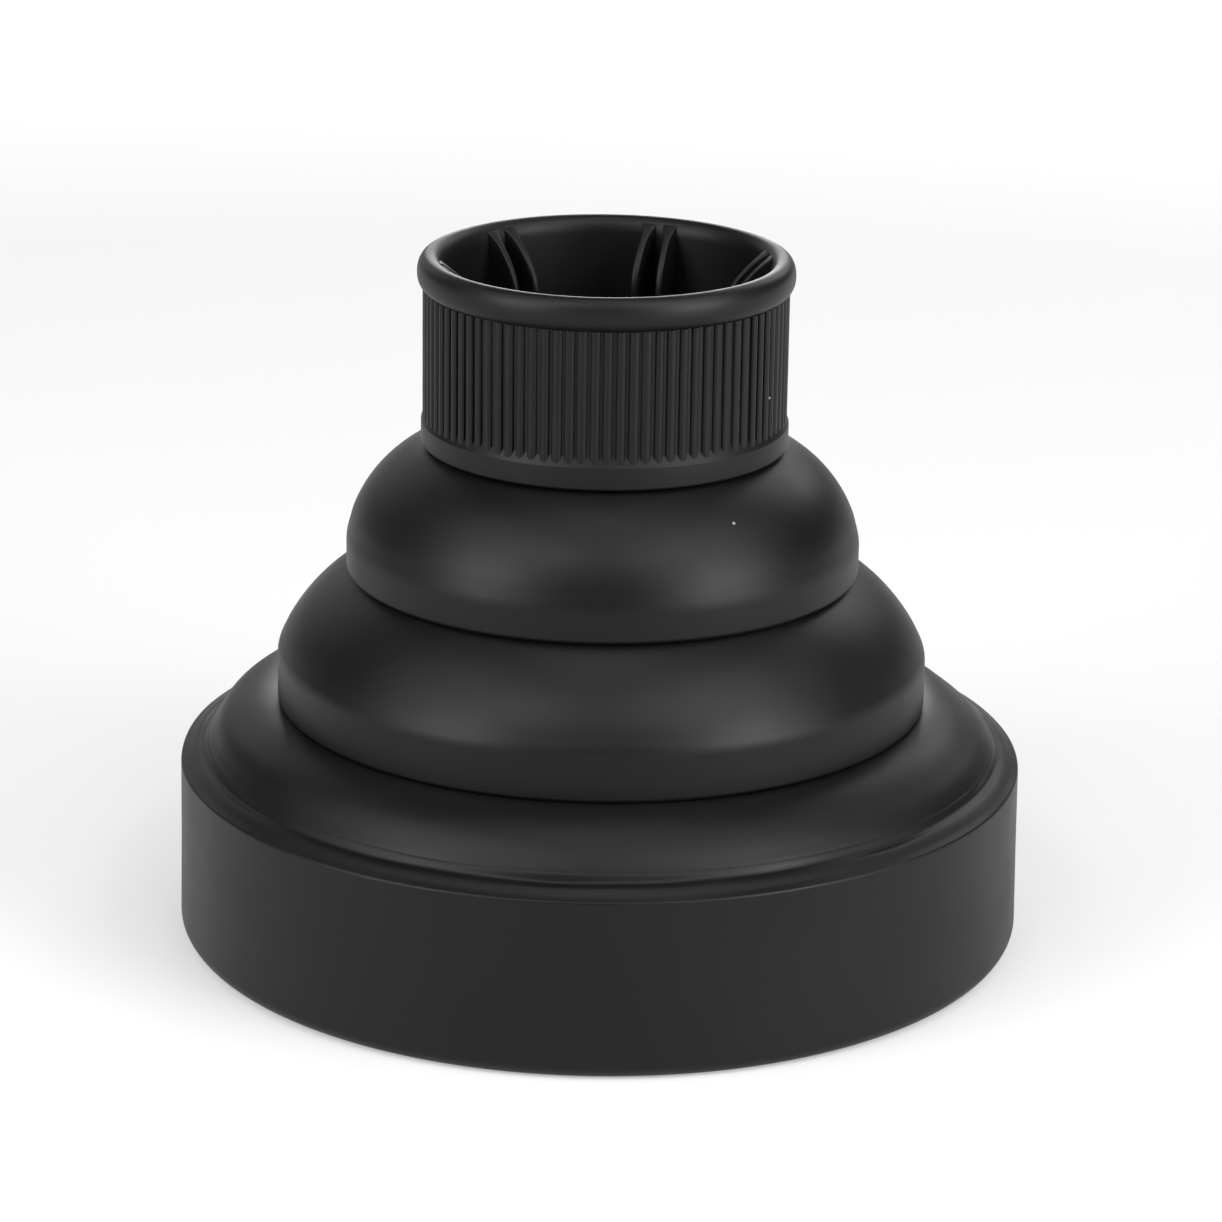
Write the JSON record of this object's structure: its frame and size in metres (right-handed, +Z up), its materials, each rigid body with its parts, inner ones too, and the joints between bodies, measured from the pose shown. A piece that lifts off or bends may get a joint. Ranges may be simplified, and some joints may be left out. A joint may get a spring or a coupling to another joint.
{
  "type": "hair dryer diffuser",
  "caption": "Collapsible silicone hair dryer diffuser: a stepped round bowl with folding domes, a ribbed nozzle collar with grip fins, and a pronged face plate.",
  "frame": {"origin": "centre of the rim's bottom plane, where the diffuser stands", "axes": "+Z up along the axis, from the rim to the nozzle collar; +X to the right and +Y away from the front"},
  "size_m": [0.1408, 0.1408, 0.1143],
  "materials": {
    "silicone": "matte moulded silicone",
    "plate": "fine textured moulding"
  },
  "bodies": {
    "base": {"skirt": "silicone", "shoulder_web": "silicone", "face_plate": "plate", "prong_centre": "plate", "prongs_inner": "plate", "prongs_middle": "plate", "prongs_outer": "plate"},
    "lower_band": {"lower_ring": "silicone", "lower_web": "silicone"},
    "upper_band": {"upper_ring": "silicone", "upper_web": "silicone"},
    "collar": {"collar_foot": "silicone", "collar_sleeve": "silicone", "collar_lip": "silicone"},
    "grip_fin_01": {"grip_fin_01": "silicone"},
    "grip_fin_02": {"grip_fin_02": "silicone"},
    "grip_fin_03": {"grip_fin_03": "silicone"},
    "grip_fin_04": {"grip_fin_04": "silicone"},
    "grip_fin_05": {"grip_fin_05": "silicone"},
    "grip_fin_06": {"grip_fin_06": "silicone"},
    "grip_fin_07": {"grip_fin_07": "silicone"},
    "grip_fin_08": {"grip_fin_08": "silicone"},
    "grip_fin_09": {"grip_fin_09": "silicone"},
    "grip_fin_10": {"grip_fin_10": "silicone"},
    "grip_fin_11": {"grip_fin_11": "silicone"},
    "grip_fin_12": {"grip_fin_12": "silicone"}
  },
  "joints": [
    {"name": "fold_lower", "type": "slide", "parent": "base", "child": "lower_band", "axis": [0, 0, -1], "range_m": [0, 0.014], "deforming": ["shoulder_web"]},
    {"name": "fold_upper", "type": "slide", "parent": "lower_band", "child": "upper_band", "axis": [0, 0, -1], "range_m": [0, 0.026], "deforming": ["lower_web"]},
    {"name": "fold_collar", "type": "slide", "parent": "upper_band", "child": "collar", "axis": [0, 0, -1], "range_m": [0, 0.028], "deforming": ["upper_web"]},
    {"name": "grip_fin_01_flex", "type": "hinge", "parent": "collar", "child": "grip_fin_01", "pos_m": [0.02585, 0.00322, 0.09], "axis": [0, 0, 1], "range_deg": [0, 35], "stiffness_Nm_per_rad": 0.01},
    {"name": "grip_fin_02_flex", "type": "hinge", "parent": "collar", "child": "grip_fin_02", "pos_m": [0.02517, 0.0067, 0.09], "axis": [0, 0, 1], "range_deg": [-35, 0], "stiffness_Nm_per_rad": 0.01},
    {"name": "grip_fin_03_flex", "type": "hinge", "parent": "collar", "child": "grip_fin_03", "pos_m": [0.01014, 0.024, 0.09], "axis": [0, 0, 1], "range_deg": [0, 35], "stiffness_Nm_per_rad": 0.01},
    {"name": "grip_fin_04_flex", "type": "hinge", "parent": "collar", "child": "grip_fin_04", "pos_m": [0.00679, 0.02515, 0.09], "axis": [0, 0, 1], "range_deg": [-35, 0], "stiffness_Nm_per_rad": 0.01},
    {"name": "grip_fin_05_flex", "type": "hinge", "parent": "collar", "child": "grip_fin_05", "pos_m": [-0.01571, 0.02078, 0.09], "axis": [0, 0, 1], "range_deg": [0, 35], "stiffness_Nm_per_rad": 0.01},
    {"name": "grip_fin_06_flex", "type": "hinge", "parent": "collar", "child": "grip_fin_06", "pos_m": [-0.01839, 0.01845, 0.09], "axis": [0, 0, 1], "range_deg": [-35, 0], "stiffness_Nm_per_rad": 0.01},
    {"name": "grip_fin_07_flex", "type": "hinge", "parent": "collar", "child": "grip_fin_07", "pos_m": [-0.02585, -0.00322, 0.09], "axis": [0, 0, 1], "range_deg": [0, 35], "stiffness_Nm_per_rad": 0.01},
    {"name": "grip_fin_08_flex", "type": "hinge", "parent": "collar", "child": "grip_fin_08", "pos_m": [-0.02517, -0.0067, 0.09], "axis": [0, 0, 1], "range_deg": [-35, 0], "stiffness_Nm_per_rad": 0.01},
    {"name": "grip_fin_09_flex", "type": "hinge", "parent": "collar", "child": "grip_fin_09", "pos_m": [-0.01014, -0.024, 0.09], "axis": [0, 0, 1], "range_deg": [0, 35], "stiffness_Nm_per_rad": 0.01},
    {"name": "grip_fin_10_flex", "type": "hinge", "parent": "collar", "child": "grip_fin_10", "pos_m": [-0.00679, -0.02515, 0.09], "axis": [0, 0, 1], "range_deg": [-35, 0], "stiffness_Nm_per_rad": 0.01},
    {"name": "grip_fin_11_flex", "type": "hinge", "parent": "collar", "child": "grip_fin_11", "pos_m": [0.01571, -0.02078, 0.09], "axis": [0, 0, 1], "range_deg": [0, 35], "stiffness_Nm_per_rad": 0.01},
    {"name": "grip_fin_12_flex", "type": "hinge", "parent": "collar", "child": "grip_fin_12", "pos_m": [0.01839, -0.01845, 0.09], "axis": [0, 0, 1], "range_deg": [-35, 0], "stiffness_Nm_per_rad": 0.01}
  ],
  "couplings": [
    {"joint": "grip_fin_02_flex", "follows": "grip_fin_01_flex", "ratio": -1},
    {"joint": "grip_fin_03_flex", "follows": "grip_fin_01_flex", "ratio": 1},
    {"joint": "grip_fin_04_flex", "follows": "grip_fin_01_flex", "ratio": -1},
    {"joint": "grip_fin_05_flex", "follows": "grip_fin_01_flex", "ratio": 1},
    {"joint": "grip_fin_06_flex", "follows": "grip_fin_01_flex", "ratio": -1},
    {"joint": "grip_fin_07_flex", "follows": "grip_fin_01_flex", "ratio": 1},
    {"joint": "grip_fin_08_flex", "follows": "grip_fin_01_flex", "ratio": -1},
    {"joint": "grip_fin_09_flex", "follows": "grip_fin_01_flex", "ratio": 1},
    {"joint": "grip_fin_10_flex", "follows": "grip_fin_01_flex", "ratio": -1},
    {"joint": "grip_fin_11_flex", "follows": "grip_fin_01_flex", "ratio": 1},
    {"joint": "grip_fin_12_flex", "follows": "grip_fin_01_flex", "ratio": -1}
  ]
}
